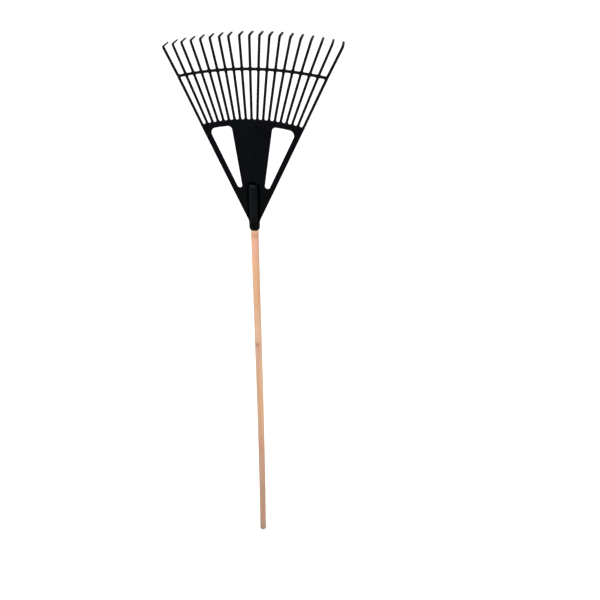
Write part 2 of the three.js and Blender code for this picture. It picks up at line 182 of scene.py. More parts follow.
def arm_edge_x(height):
    """Half the plate's width at a height above the mouth."""
    return (height + ARM_EDGE_BELOW_MOUTH) * math.tan(ARM_EDGE_ANGLE)


def on_tine(index, distance, across):
    """A point of the fan's plane, distance from the apex along a tine and across to its right."""
    angle = TINE_ANGLES[index]
    x = distance * math.sin(angle) + across * math.cos(angle)
    return x, APEX_Z + distance * math.cos(angle) - across * math.sin(angle)


# ---- Loops in a plane ----


def rounded_loop(corners, steps):
    """The closed outline through corners (x, y, radius), each rounded with an arc of steps pieces."""
    points = []
    for i, (x, y, radius) in enumerate(corners):
        if radius <= 0:
            points.append((x, y))
            continue
        corner = Vector((x, y))
        back = (Vector(corners[i - 1][:2]) - corner).normalized()
        ahead = (Vector(corners[(i + 1) % len(corners)][:2]) - corner).normalized()
        half = back.angle(ahead) / 2
        centre = corner + (back + ahead).normalized() * radius / math.sin(half)
        first = corner + back * radius / math.tan(half) - centre
        turn = first.angle_signed(corner + ahead * radius / math.tan(half) - centre)
        for k in range(steps + 1):
            points.append(tuple(centre + Matrix.Rotation(-turn * k / steps, 2) @ first))
    return points


def spaced_loop(points, spacing):
    """The same outline with further points, so that no stretch is longer than spacing."""
    made = []
    for i, start in enumerate(points):
        end = points[(i + 1) % len(points)]
        pieces = max(1, math.ceil(math.dist(start, end) / spacing))
        for k in range(pieces):
            made.append(tuple(a + (b - a) * k / pieces for a, b in zip(start, end)))
    return made


def left_normals(points):
    """The way to the left at each point of a closed loop, longer at corners so that offsets stay parallel."""
    p = np.array(points, float)
    ahead = np.roll(p, -1, 0) - p
    ahead /= np.linalg.norm(ahead, axis=1)[:, None]
    normal = np.stack([-ahead[:, 1], ahead[:, 0]], 1)
    before = np.roll(normal, 1, 0)
    return (normal + before) / (1 + (normal * before).sum(1))[:, None]


def is_anticlockwise(points):
    p = np.array(points, float)
    q = np.roll(p, -1, 0)
    return (p[:, 0] * q[:, 1] - q[:, 0] * p[:, 1]).sum() > 0


# ---- Mesh making ----


class Shell:
    """Vertices and faces of one piece, in millimetres."""

    def __init__(self):
        self.vertices = []
        self.faces = []
        self.flat = set()  # indices of the faces that aren't shaded smooth

    def add(self, points):
        """Adds a ring of points and returns their indices."""
        start = len(self.vertices)
        self.vertices += [tuple(map(float, p)) for p in points]
        return list(range(start, len(self.vertices)))

    def strip(self, one, two):
        """Quads between two closed rings of as many points."""
        for i in range(len(one)):
            k = (i + 1) % len(one)
            self.faces.append((one[i], one[k], two[k], two[i]))

    def loft(self, rings):
        """A closed skin over rings of as many points each."""
        ids = [self.add(ring) for ring in rings]
        for one, two in zip(ids, ids[1:]):
            self.strip(one, two)
        self.faces.append(tuple(reversed(ids[0])))
        self.faces.append(tuple(ids[-1]))

    def piece(self, name, sharp_angle=40):
        """Makes the object, smooth but for edges of more than sharp_angle degrees."""
        mesh = bpy.data.meshes.new(name)
        mesh.from_pydata([Vector(v) * MM for v in self.vertices], [], self.faces)
        bm = bmesh.new()
        bm.from_mesh(mesh)
        bmesh.ops.recalc_face_normals(bm, faces=bm.faces)
        for face in bm.faces:
            face.smooth = face.index not in self.flat
        for edge in bm.edges:
            if edge.is_manifold and edge.calc_face_angle(0) > math.radians(sharp_angle):
                edge.smooth = False
        bm.to_mesh(mesh)
        bm.free()
        piece = bpy.data.objects.new(name, mesh)
        bpy.context.scene.collection.objects.link(piece)
        return piece


def add_sheet(shell, outer, holes, profile):
    """A flat part in the fan's plane.

    profile lists (inset, y) from the front face round the edge to the back.
    """
    loops = [outer if is_anticlockwise(outer) else outer[::-1]]
    loops += [hole[::-1] if is_anticlockwise(hole) else hole for hole in holes]
    front = []
    back = []
    for loop in loops:
        points = np.array(loop, float)
        normals = left_normals(loop)
        rings = []
        for inset, y in profile:
            moved = points + normals * inset
            rings.append(shell.add([(x, y, z) for x, z in moved]))
        for one, two in zip(rings, rings[1:]):
            shell.strip(one, two)
        front.append(rings[0])
        back.append(rings[-1])
    for rings in (front, back):
        fill(shell, rings)


def fill(shell, rings):
    """Flat triangles between an outer ring and the rings of its holes."""
    ids = [i for ring in rings for i in ring]
    flat = [Vector((shell.vertices[i][0], shell.vertices[i][2])) for i in ids]
    edges = []
    start = 0
    for ring in rings:
        edges += [(start + k, start + (k + 1) % len(ring)) for k in range(len(ring))]
        start += len(ring)
    _, _, triangles, sources, _, _ = delaunay_2d_cdt(flat, edges, [], 0, 1e-6)
    place = np.array([flat[s[0]] for s in sources])
    triangles = np.array(triangles)
    middle = place[triangles].mean(1)
    # A triangle is kept when a line from its middle crosses an odd number of edges on its right.
    a = np.array([flat[i] for i, _ in edges])
    b = np.array([flat[k] for _, k in edges])
    with np.errstate(divide="ignore", invalid="ignore"):
        x = a[:, 0] + (middle[:, 1:] - a[:, 1]) * (b[:, 0] - a[:, 0]) / (b[:, 1] - a[:, 1])
    spans = (a[:, 1] > middle[:, 1:]) != (b[:, 1] > middle[:, 1:])
    inside = (spans & (middle[:, :1] < x)).sum(1) % 2 == 1
    for triangle in triangles[inside]:
        shell.flat.add(len(shell.faces))
        shell.faces.append(tuple(ids[sources[k][0]] for k in triangle))


def round_edge(half_depth, edge, steps=3):
    """(inset, y) round a plain edge from the front face to the back."""
    quarter = [(math.pi / 2) * k / steps for k in range(steps + 1)]
    front = [(edge * (1 - math.sin(a)), -(half_depth - edge) - edge * math.cos(a)) for a in quarter]
    return front + [(inset, -y) for inset, y in reversed(front)]


def rimmed_edge(half_depth, width, front, back, edge=0.8, slope=0.9):
    """(inset, y) of an edge that carries a low rim on both faces, front and back being its heights."""

    def side(height):
        top = half_depth + height
        return [
            (width + slope, half_depth),
            (width + slope / 2, half_depth + 0.12 * height),
            (width, half_depth + 0.6 * height),
            (width - 0.4, top - 0.08 * height),
            (width - slope, top),
            (edge, top),
            (0.3 * edge, top - 0.3 * edge),
            (0, top - edge),
        ]

    return [(inset, -y) for inset, y in side(front)] + [(inset, y) for inset, y in reversed(side(back))]


# ---- The rigid head: plate, arms, band, boss and collar ----


def window_loop(side):
    """Outline of the window on the right (side 1) or on the left (side -1)."""
    web_bottom_x, web_top_x = WEB_HALF_WIDTHS
    arm_inner_x = arm_edge_x(WINDOW_BOTTOM) - ARM_WIDTH / math.cos(ARM_EDGE_ANGLE)
    bottom_z = MOUTH_Z + WINDOW_BOTTOM
    top_x = (WINDOW_TOP_OUTER_X, (WINDOW_TOP_OUTER_X + web_top_x) / 2, web_top_x)
    arm_radius, web_radius = WINDOW_TOP_RADII
    corners = [
        (web_bottom_x, bottom_z, WINDOW_BOTTOM_RADIUS),
        (arm_inner_x, bottom_z, WINDOW_BOTTOM_RADIUS),
    ]
    corners += [(x, root_arc_z(x, BAND_HEIGHT), r) for x, r in zip(top_x, (arm_radius, 0, web_radius))]
    loop = rounded_loop(corners, 10)
    return loop if side > 0 else [(-x, z) for x, z in loop]


def plate_loop():
    """Outline of the thick plate, from the collar up along the arms to the root band."""
    top_drop = 2.2  # the plate's thick part stops just short of the scalloped roots
    shoulder_x = arm_edge_x(PLATE_SHOULDER)
    bottom_x = arm_edge_x(PLATE_BOTTOM)
    bottom_z = MOUTH_Z + PLATE_BOTTOM
    corner_z = root_arc_z(shoulder_x, top_drop)
    top_x = shoulder_x - 12  # leaves room for the corner's arc
    top = [(x, root_arc_z(x, top_drop), 0) for x in np.linspace(top_x, -top_x, 41)]
    corners = [
        (bottom_x, bottom_z, 0),
        (shoulder_x, corner_z, PLATE_CORNER),
        *top,
        (-shoulder_x, corner_z, PLATE_CORNER),
        (-bottom_x, bottom_z, 0),
    ]
    return rounded_loop(corners, 5)


def boss_section(height, steps=8):
    """The boss at a height above the mouth, as a closed loop of (x, y): half round, with a spread foot."""
    foot = min(BOSS_FOOT_HALF_WIDTH, arm_edge_x(height) - 0.4)
    toe = PLATE_THICKNESS / 2 - BOSS_FOOT_SINK
    end_heights = (BOSS_CREST_END, BOSS_CHAMFER_END, BOSS_FOOT_END)
    top = np.interp(height, end_heights, (BOSS_RADIUS, BOSS_RADIUS - BOSS_CHAMFER_DROP, toe))
    quarter = []
    for k in range(steps + 1):
        a = math.radians((90 - BOSS_FOOT_ANGLE) * k / steps)
        x = min(BOSS_RADIUS * math.sin(a), foot - 1)
        y = min(BOSS_RADIUS * math.cos(a), top)
        quarter.append((x, y))
    last_x, last_y = quarter[-1]
    quarter += [(0.6 * last_x + 0.4 * foot, 0.4 * last_y + 0.6 * toe), (foot, toe)]
    front = [(x, -y) for x, y in quarter]
    right = front + quarter[::-1]
    left = [(-x, y) for x, y in right[1:-1]][::-1]
    return right + left


def boss_end_drop(x):
    """How far the boss's upper end lies lower at x than in its middle, because its corners are round."""
    past = abs(x) - (BOSS_FOOT_HALF_WIDTH - BOSS_END_ROUNDING)
    return BOSS_END_ROUNDING - math.sqrt(BOSS_END_ROUNDING**2 - past**2) if past > 0 else 0


def socket_rings():
    """Rings from the bottom of the bore, out round the lip, and up over the collar and the boss."""
    middle_height = 60  # where the boss has its full section, which gives the rings their angles
    angles = [math.atan2(y, x) for x, y in boss_section(middle_height)]

    def circle(radius, height):
        return [(radius * math.cos(a), radius * math.sin(a), MOUTH_Z + height) for a in angles]

    lip_in, lip_up = COLLAR_LIP
    mouth_radius = BORE_RADIUS + 0.25
    lip_start = math.asin((mouth_radius - COLLAR_RADIUS + lip_in) / lip_in)
    bore_start = lip_up * (1 - math.cos(lip_start)) + 0.3
    rings = [circle(BORE_RADIUS, height) for height in (BORE_LENGTH, 40, bore_start)]
    for k in range(9):
        a = lip_start + (math.pi / 2 - lip_start) * k / 8
        rings.append(circle(COLLAR_RADIUS - lip_in * (1 - math.sin(a)), lip_up * (1 - math.cos(a))))
    rings.append(circle(COLLAR_RADIUS, 15))

    # The round collar turns into the boss.
    start_section = boss_section(BOSS_START)
    for height in range(COLLAR_END, BOSS_START + 1, 2):
        share = (height - COLLAR_END) / (BOSS_START - COLLAR_END)
        share = share * share * (3 - 2 * share)
        rings.append([
            (cx + (x - cx) * share, cy + (y - cy) * share, MOUTH_Z + height)
            for (x, y), (cx, cy, _) in zip(start_section, circle(COLLAR_RADIUS, height))
        ])

    # The rings lie close together at the edges of the boss's end, to keep them crisp.
    last_plain = 90
    heights = [38, 42, 48, middle_height, last_plain, 120]
    heights += [BOSS_CREST_END - 1, BOSS_CREST_END, BOSS_CREST_END + 1.2]
    heights += [BOSS_CHAMFER_END - 0.8, BOSS_CHAMFER_END, BOSS_CHAMFER_END + 1]
    heights += [BOSS_FOOT_END - 1, BOSS_FOOT_END]
    for height in heights:
        share = np.interp(height, (last_plain, BOSS_CREST_END - 1), (0, 1))
        rings.append([
            (x, y, MOUTH_Z + height - share * boss_end_drop(x))
            for x, y in boss_section(height)
        ])
    return rings


def disc_rings(radius, low, high, edge, count=40):
    """Rings of a round pad whose axis is along Y at the screw, with a rounded outer edge."""
    outline = [
        (radius, low),
        (radius, high - edge),
        (radius - 0.3 * edge, high - 0.3 * edge),
        (radius - edge, high),
    ]
    turns = [2 * math.pi * k / count for k in range(count)]
    return [[(r * math.cos(a), y, SCREW_Z + r * math.sin(a)) for a in turns] for r, y in outline]


def make_plate():
    """The flat plate with its arms, windows and root band."""
    shell = Shell()
    windows = [window_loop(side) for side in (1, -1)]
    profile = rimmed_edge(PLATE_THICKNESS / 2, RIM_WIDTH, FRONT_RIM, BACK_RIM)
    add_sheet(shell, plate_loop(), windows, profile)
    return shell.piece("head_plate")


def make_socket():
    """The collar, the boss over the handle's end, and the screw's pad."""
    shell = Shell()
    shell.loft(socket_rings())
    shell.loft(disc_rings(PAD_RADIUS, PAD_START_Y, PAD_Y, PAD_EDGE))
    return shell.piece("head_socket")


# ---- Tines and crossbar ----


def gap_loop(index):
    """The opening between a tine and its right-hand neighbour, from the band to the crossbar."""
    corners = []
    for tine, side in ((index, 0.5), (index + 1, -0.5)):
        across = side * tine_width(tine)
        lower = distance_to_arc(ROOT_ARC, TINE_ANGLES[tine])
        upper = distance_to_arc(CROSSBAR_ARC, TINE_ANGLES[tine]) - CROSSBAR_HEIGHT / 2 + OVERLAP
        corners.append((on_tine(tine, lower, across), on_tine(tine, upper, across)))
    (a, d), (b, c) = corners
    root_radius = 0.47 * math.dist(a, b)
    return rounded_loop([(*a, root_radius), (*b, root_radius), (*c, FILLET), (*d, FILLET)], 7)


def fan_loop():
    """Outline of the tines' sheet: it starts inside the plate and ends inside the crossbar."""
    last = TINE_COUNT - 1
    half = tine_width(last) / 2
    root = distance_to_arc(ROOT_ARC, TINE_ANGLES[last])
    cross = distance_to_arc(CROSSBAR_ARC, TINE_ANGLES[last])
    bottom_drop = 9  # how far the sheet reaches into the plate below the roots
    # Next to the last tine the outline runs down inside the arm, a little in from its edge.
    start = on_tine(last, root - 24, half - 1.6)
    right = [start, on_tine(last, root - 2, half), on_tine(last, cross, half)]
    top = [
        on_tine(i, distance_to_arc(CROSSBAR_ARC, TINE_ANGLES[i]), 0)
        for i in reversed(range(TINE_COUNT))
    ]
    mirrored = [(-x, z) for x, z in reversed(right)]
    bottom_x = start[0] - 6
    bottom = [(x, root_arc_z(x, bottom_drop)) for x in np.linspace(-bottom_x, bottom_x, 31)]
    return right + top + mirrored + bottom


def rounded_rectangle(half_width, half_height, corner, steps):
    return rounded_loop([
        (-half_width, -half_height, corner),
        (half_width, -half_height, corner),
        (half_width, half_height, corner),
        (-half_width, half_height, corner),
    ], steps)


def crossbar_rings():
    """Rings along the crossbar's arc, from beyond the first tine to beyond the last."""
    reach, radius = CROSSBAR_ARC
    centre = APEX_Z + reach - radius
    end_angle = TINE_ANGLES[-1]
    sweep = math.asin(distance_to_arc(CROSSBAR_ARC, end_angle) * math.sin(end_angle) / radius)
    section = rounded_rectangle(CROSSBAR_HEIGHT / 2, CROSSBAR_DEPTH / 2, CROSSBAR_EDGE, 4)
    stations = [(-sweep - d / radius, s) for d, s in reversed(CROSSBAR_ENDS)]
    stations += [(a, 1.0) for a in np.linspace(-sweep, sweep, 73)]
    stations += [(sweep + d / radius, s) for d, s in CROSSBAR_ENDS]
    return [
        [((radius + u * s) * math.sin(a), y * s, centre + (radius + u * s) * math.cos(a)) for u, y in section]
        for a, s in stations
    ]


def make_fan():
    """The lower tines with the crossbar, in pieces short enough to bend."""
    spacing = 7
    shell = Shell()
    holes = [spaced_loop(gap_loop(i), spacing) for i in range(TINE_COUNT - 1)]
    add_sheet(shell, spaced_loop(fan_loop(), spacing), holes, round_edge(TINE_DEPTH / 2, TINE_EDGE))
    shell.loft(crossbar_rings())
    return shell.piece("tines_and_crossbar")


def tip_foot_stations(index):
    """The stations of a tip from the crossbar's middle to the end of its fillets."""
    width = tine_width(index)
    side = (index == 0) - (index == TINE_COUNT - 1)  # the outermost tines have a fillet on one side only
    stations = []
    for k in range(7):
        rise = FILLET * k / 6
        flare = FILLET - math.sqrt(FILLET**2 - (FILLET - rise) ** 2)
        wide = width + (flare if side else 2 * flare)
        stations.append((CROSSBAR_HEIGHT / 2 - OVERLAP + rise, 0, 0, wide, TINE_DEPTH, side * flare / 2))
    inside_crossbar = (0, 0, 0, *stations[0][3:])
    return [inside_crossbar] + stations


def hook_stations(bend_end, turn, run, bent_width):
    """The stations of the hook's straight part from (z, y) bend_end, run long, to its rounded end."""
    start_z, start_y = bend_end
    end_width = bent_width - (TINE_WIDTH - HOOK_END_WIDTH)
    end_round = HOOK_END_DEPTH / 2
    ends = [(share * (run - end_round), share, 1) for share in (0.2, 0.4, 0.6, 0.8, 1)]
    for k in range(1, 5):
        a = math.radians(80) * k / 4
        ends.append((run - end_round + end_round * math.sin(a), 1, math.cos(a)))
    stations = []
    for length, share, shrink in ends:
        z = start_z + length * math.cos(turn)
        y = start_y + length * math.sin(turn)
        width = bent_width + (end_width - bent_width) * share - (1 - shrink) * HOOK_END_DEPTH
        depth = (TIP_DEPTH + (HOOK_END_DEPTH - TIP_DEPTH) * share) * shrink
        stations.append((z, y, turn, width, depth, 0))
    return stations


def tip_stations(index):
    """(distance past the crossbar's middle, y, turn, width, depth, shift across) to the hook's end."""
    angle = TINE_ANGLES[index]
    width = tine_width(index)
    bent_width = width - TIP_NARROWING
    corner = distance_to_arc(BEND_ARC, angle) - distance_to_arc(CROSSBAR_ARC, angle)
    setback = HOOK_BEND_RADIUS * math.tan(HOOK_ANGLE / 2)
    stations = tip_foot_stations(index)
    straight_start = CROSSBAR_HEIGHT / 2 - OVERLAP + FILLET
    straight_end = corner - setback
    for k in range(1, 11):
        share = k / 10
        z = straight_start + (straight_end - straight_start) * share
        depth = TINE_DEPTH + (TIP_DEPTH - TINE_DEPTH) * share
        stations.append((z, 0, 0, width - TIP_NARROWING * share, depth, 0))
    for k in range(1, 10):
        turn = HOOK_ANGLE * k / 9
        z = straight_end + HOOK_BEND_RADIUS * math.sin(turn)
        y = HOOK_BEND_RADIUS * (1 - math.cos(turn))
        stations.append((z, y, turn, bent_width, TIP_DEPTH, 0))
    return stations + hook_stations((z, y), turn, HOOK_LENGTH - setback, bent_width)


def make_tip(index):
    """One tine's free end, from inside the crossbar to the end of its hook."""
    angle = TINE_ANGLES[index]
    x, z = on_tine(index, distance_to_arc(CROSSBAR_ARC, angle), 0)
    tip_turn = TIP_ANGLES[index] + math.radians(PUSHED_TIPS.get(index + 1, 0))
    place = Matrix.Translation((x, 0, z)) @ Matrix.Rotation(tip_turn, 4, "Y")
    share = abs(angle) / TINE_ANGLES[-1]
    lean = math.copysign(math.tan(HOOK_LEANS[angle > 0] * share**HOOK_LEAN_GROWTH), angle)
    bar_slope = math.tan(tip_turn - math.asin(x / CROSSBAR_ARC[1]))
    bar_edge = CROSSBAR_HEIGHT / 2
    rings = []
    for z, y, turn, width, depth, shift in tip_stations(index):
        # The tip's foot lies along the bar, and the slant is gone a little above the fillets.
        slant = bar_slope * np.interp(z, (bar_edge, bar_edge + 3 * FILLET), (1, 0))
        corner = min(TIP_EDGE, 0.45 * depth, 0.45 * width)
        section = rounded_rectangle(width / 2, depth / 2, corner, 3)
        ring = []
        for u, v in section:
            across = shift + u
            point = (across - y * lean, y + v * math.cos(turn), z - v * math.sin(turn) + across * slant)
            ring.append(tuple(place @ Vector(point)))
        rings.append(ring)
    shell = Shell()
    shell.loft(rings)
    tip = shell.piece(f"tip_{index + 1:02d}")
    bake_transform(tip)
    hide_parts(f"tine_tip_{index + 1:02d}")
    return tip


# ---- Handle and screw ----


def make_handle(sides=72):
    """The pole, rounded at its lower end and bowed as far as its bare length goes."""
    outline = []
    for k in range(9):
        a = (math.pi / 2) * k / 8
        radius = HANDLE_RADIUS - BUTT_ROUNDING * (1 - math.sin(a))
        outline.append((radius, BUTT_ROUNDING * (1 - math.cos(a))))
    outline += [(HANDLE_RADIUS, float(z)) for z in np.linspace(20, HANDLE_LENGTH - TOP_CHAMFER, 70)]
    outline.append((HANDLE_RADIUS - TOP_CHAMFER, HANDLE_LENGTH))
    turns = [2 * math.pi * k / sides for k in range(sides)]
    half_wave, full_wave = HANDLE_BOW
    rings = []
    for r, z in outline:
        share = min(z / MOUTH_Z, 1)
        bow = half_wave * math.sin(math.pi * share) + full_wave * math.sin(2 * math.pi * share)
        rings.append([(bow + r * math.cos(a), r * math.sin(a), z) for a in turns])
    shell = Shell()
    shell.loft(rings)
    return shell.piece("wooden_handle")


def recess_cutter(top):
    """The tapered cross that is cut into the screw's head, whose top is at this y."""
    half = RECESS_HALF_WIDTH
    reach = RECESS_REACH
    corners = [(half, reach), (half, half), (reach, half), (reach, -half), (half, -half), (half, -reach)]
    corners += [(-x, z) for x, z in reversed(corners)]
    shell = Shell()
    shell.loft([
        [(RECESS_TAPER * x, top - RECESS_DEPTH, SCREW_Z + RECESS_TAPER * z) for x, z in corners],
        [(x, top + 0.5, SCREW_Z + z) for x, z in corners],
    ])
    return shell.piece("cutter")


def make_screw(sides=48):
    """Pan head with a cross recess, on the pad at the socket's back, and a plain shank into the handle."""
    seat = PAD_Y + SCREW_GAP
    top = PAD_Y + SCREW_GAP + SCREW_HEAD_HEIGHT
    outline = [
        (0.3, seat - SCREW_SHANK_LENGTH),
        (SCREW_SHANK_RADIUS, seat - SCREW_SHANK_LENGTH + SCREW_POINT_LENGTH),
        (SCREW_SHANK_RADIUS, seat),
        (SCREW_HEAD_RADIUS, seat),
        (SCREW_HEAD_RADIUS, seat + SCREW_HEAD_RIM),
    ]
    for k in range(1, 8):
        a = (math.pi / 2) * k / 8
        radius = SCREW_HEAD_FLAT + (SCREW_HEAD_RADIUS - SCREW_HEAD_FLAT) * math.cos(a)
        outline.append((radius, seat + SCREW_HEAD_RIM + (SCREW_HEAD_HEIGHT - SCREW_HEAD_RIM) * math.sin(a)))
    outline.append((0.4, top))
    turns = [2 * math.pi * k / sides for k in range(sides)]
    shell = Shell()
    shell.loft([[(r * math.cos(a), y, SCREW_Z + r * math.sin(a)) for a in turns] for r, y in outline])
    screw = shell.piece("screw")
    cutter = recess_cutter(top)
    cut = screw.modifiers.new("recess", "BOOLEAN")
    cut.object = cutter
    cut.solver = "EXACT"
    evaluated = screw.evaluated_get(bpy.context.evaluated_depsgraph_get())
    screw.data = bpy.data.meshes.new_from_object(evaluated)
    screw.modifiers.clear()
    bpy.data.objects.remove(cutter)
    return screw


# ---- Materials ----

# Sizes of the surface patterns: the larger a scale, the finer the pattern. Heights are in metres.
CLOUD_SCALE = 26
SINK_SCALE = 22
SINK_HEIGHT = 0.0012
GRAIN_SCALE = 2200
GRAIN_HEIGHT = 0.00008
ROUGHNESS_RANGE = 0.12
LOW_TINT_HEIGHTS = (90, 170)  # mm above the mouth, between which the plastic's tint fades out
BROAD_SCALES = (38, 38, 1.7)  # the wood's patterns are drawn out along the pole
STREAK_SCALES = (260, 260, 5)
FIBRE_SCALES = (1500, 1500, 26)
FIBRE_HEIGHT = 0.0002
BLOTCH_SCALE = 700

# The pole's colour by height, from its lower end, darker and greyer there, up to the pale wood under the
# collar.
WOOD_BY_HEIGHT = [
    (0.0, (0.33, 0.23, 0.18)),
    (0.08, (0.41, 0.25, 0.175)),
    (0.22, (0.40, 0.25, 0.18)),
    (0.29, (0.46, 0.295, 0.212)),
    (0.44, (0.52, 0.305, 0.212)),
    (0.53, (0.60, 0.365, 0.25)),
    (0.66, (0.64, 0.39, 0.245)),
    (0.75, (0.68, 0.42, 0.28)),
    (0.95, (0.65, 0.425, 0.31)),
    (1.01, (0.63, 0.395, 0.27)),
    (1.06, (0.625, 0.365, 0.235)),
    (1.2, (0.67, 0.40, 0.25)),
    (1.215, (0.675, 0.37, 0.275)),
    (1.265, (0.69, 0.37, 0.287)),
    (1.278, (0.65, 0.345, 0.265)),
    (1.286, (0.54, 0.30, 0.205)),
    (1.293, (0.50, 0.29, 0.19)),
    (1.3, (0.62, 0.38, 0.25)),
]


def node_material(name):
    """A new material with its nodes, its links and its shader."""
    material = bpy.data.materials.new(name)
    material.use_nodes = True
    nodes = material.node_tree.nodes
    return material, nodes, material.node_tree.links, nodes["Principled BSDF"]


def noise_node(nodes, links, vector, scale, detail, roughness=0.55):
    node = nodes.new("ShaderNodeTexNoise")
    node.inputs["Scale"].default_value = scale
    node.inputs["Detail"].default_value = detail
    node.inputs["Roughness"].default_value = roughness
    links.new(vector, node.inputs["Vector"])
    return node


def ramp_node(nodes, links, value, stops):
    """A colour ramp from stops of (position, colour)."""
    node = nodes.new("ShaderNodeValToRGB")
    elements = node.color_ramp.elements
    elements.remove(elements[1])
    elements[0].position = stops[0][0]
    elements[0].color = (*stops[0][1], 1)
    for position, colour in stops[1:]:
        elements.new(position).color = (*colour, 1)
    links.new(value, node.inputs["Fac"])
    return node


def bump_node(nodes, links, height, strength, distance):
    node = nodes.new("ShaderNodeBump")
    node.inputs["Strength"].default_value = strength
    node.inputs["Distance"].default_value = distance
    links.new(height, node.inputs["Height"])
    return node


def stretched(nodes, links, scale, offset=(0, 0, 0)):
    """The piece's own coordinates in metres, times scale, plus offset."""
    coordinates = nodes.new("ShaderNodeTexCoord")
    mapping = nodes.new("ShaderNodeMapping")
    mapping.inputs["Scale"].default_value = scale
    mapping.inputs["Location"].default_value = offset
    links.new(coordinates.outputs["Object"], mapping.inputs["Vector"])
    return mapping.outputs["Vector"]


def black_plastic(name, darkest, lightest, specular, roughness, low_tint=(1, 1, 1)):
    """Moulded polypropylene: faint clouds of colour and gloss, a fine grain, and a moulding's soft sinks.

    low_tint multiplies the colour round the windows' lower ends and below them.
    """
    material, nodes, links, shader = node_material(name)
    plain = stretched(nodes, links, (1, 1, 1))
    cloud = noise_node(nodes, links, plain, CLOUD_SCALE, 3)
    cloudy = ramp_node(nodes, links, cloud.outputs["Fac"], [(0.3, darkest), (0.7, lightest)])
    low, high = LOW_TINT_HEIGHTS
    above_low = along(nodes, links, "Z", (MOUTH_Z + low) * MM, (MOUTH_Z + high) * MM)
    tint = ramp_node(nodes, links, above_low, [(0.0, low_tint), (1.0, (1, 1, 1))])
    colour = multiplied(nodes, links, 1.0, cloudy.outputs["Color"], tint.outputs["Color"])
    links.new(colour, shader.inputs["Base Color"])
    gloss = nodes.new("ShaderNodeMapRange")
    gloss.inputs["To Min"].default_value = roughness
    gloss.inputs["To Max"].default_value = roughness + ROUGHNESS_RANGE
    links.new(cloud.outputs["Fac"], gloss.inputs["Value"])
    links.new(gloss.outputs["Result"], shader.inputs["Roughness"])
    shader.inputs["Specular IOR Level"].default_value = specular
    grain = noise_node(nodes, links, plain, GRAIN_SCALE, 2)
    fine = bump_node(nodes, links, grain.outputs["Fac"], 0.25, GRAIN_HEIGHT)
    sink = noise_node(nodes, links, plain, SINK_SCALE, 2)
    soft = bump_node(nodes, links, sink.outputs["Fac"], 0.5, SINK_HEIGHT)
    links.new(fine.outputs["Normal"], soft.inputs["Normal"])
    links.new(soft.outputs["Normal"], shader.inputs["Normal"])
    return material


def paint_socket_light_and_shade(socket, body, crest, chamfer, flank):
    """Four copies of one moulding's plastic, by face: the boss's crest is glossier and carries a painted
    highlight, its chamfer a brighter painted highlight, and its steep sides are matt with painted shade.
    """
    socket_copies = (body, crest, chamfer, flank)
    for material in socket_copies:
        socket.data.materials.append(material)
    # The crest and chamfer of the boss get copies with painted highlights, and its steep sides a copy with
    # painted shade.
    for face in socket.data.polygons:
        height = face.center.z / MM - MOUTH_Z
        inner = BOSS_PAINTED_HIGHLIGHT_X[0] < face.center.x / MM < BOSS_PAINTED_HIGHLIGHT_X[1]
        if height < (COLLAR_END + BOSS_START) / 2:
            chosen_copy = body
        elif inner and height < BOSS_CREST_END:
            chosen_copy = crest
        elif inner and height < BOSS_CHAMFER_END:
            chosen_copy = chamfer
        else:
            chosen_copy = flank
        face.material_index = socket_copies.index(chosen_copy)


def along(nodes, links, axis, low, high):
    """Where a point lies between low and high (metres) on an axis, as 0 to 1."""
    coordinates = nodes.new("ShaderNodeTexCoord")
    split = nodes.new("ShaderNodeSeparateXYZ")
    links.new(coordinates.outputs["Object"], split.inputs["Vector"])
    share = nodes.new("ShaderNodeMapRange")
    share.inputs["From Min"].default_value = low
    share.inputs["From Max"].default_value = high
    links.new(split.outputs[axis], share.inputs["Value"])
    return share.outputs["Result"]


def height_ramp(nodes, links, stops):
    """A colour by height on the handle, from stops of (z in metres, colour)."""
    low = stops[0][0]
    high = stops[-1][0]
    share = along(nodes, links, "Z", low, high)
    return ramp_node(nodes, links, share, [((z - low) / (high - low), c) for z, c in stops])


def multiplied(nodes, links, share, base, layer):
    """The base colour multiplied by a share of the layer's."""
    mix = nodes.new("ShaderNodeMix")
    mix.data_type = "RGBA"
    mix.blend_type = "MULTIPLY"
    mix.inputs["Factor"].default_value = share
    links.new(base, mix.inputs["A"])
    links.new(layer, mix.inputs["B"])
    return mix.outputs["Result"]


# Marks on the pole: centre, half sizes (both in metres) and the colour that the wood is multiplied by.
# A dark knot with a pinkish patch below it, bruises of use, and a darker, greyer patch over the butt's
# rounded end.
KNOT = [
    ((-0.003, -0.0115, 0.894), (0.019, 0.012, 0.014), (0.76, 0.65, 0.63)),
    ((-0.003, -0.0115, 0.877), (0.019, 0.012, 0.016), (0.97, 0.89, 0.91)),
]
BRUISES = [
    ((0.007, -0.0096, 0.482), (0.003, 0.004, 0.007), (0.55, 0.52, 0.50)),
    ((-0.006, -0.0102, 0.345), (0.003, 0.004, 0.006), (0.62, 0.58, 0.56)),
    ((-0.008, -0.0088, 0.045), (0.004, 0.005, 0.022), (0.70, 0.68, 0.68)),
    ((-0.003, -0.0095, 0.006), (0.012, 0.010, 0.017), (0.66, 0.75, 0.76)),
]


def marked(nodes, links, base, mark):
    """The base colour darkened inside a soft-edged ellipsoid round the mark's centre."""
    centre, half_sizes, tint = mark
    scale = [1 / size for size in half_sizes]
    place = stretched(nodes, links, scale, [-c * k for c, k in zip(centre, scale)])
    distance = nodes.new("ShaderNodeVectorMath")
    distance.operation = "LENGTH"
    links.new(place, distance.inputs[0])
    share = ramp_node(nodes, links, distance.outputs["Value"], [(0.35, tint), (1.0, (1, 1, 1))])
    return multiplied(nodes, links, 1.0, base, share.outputs["Color"])


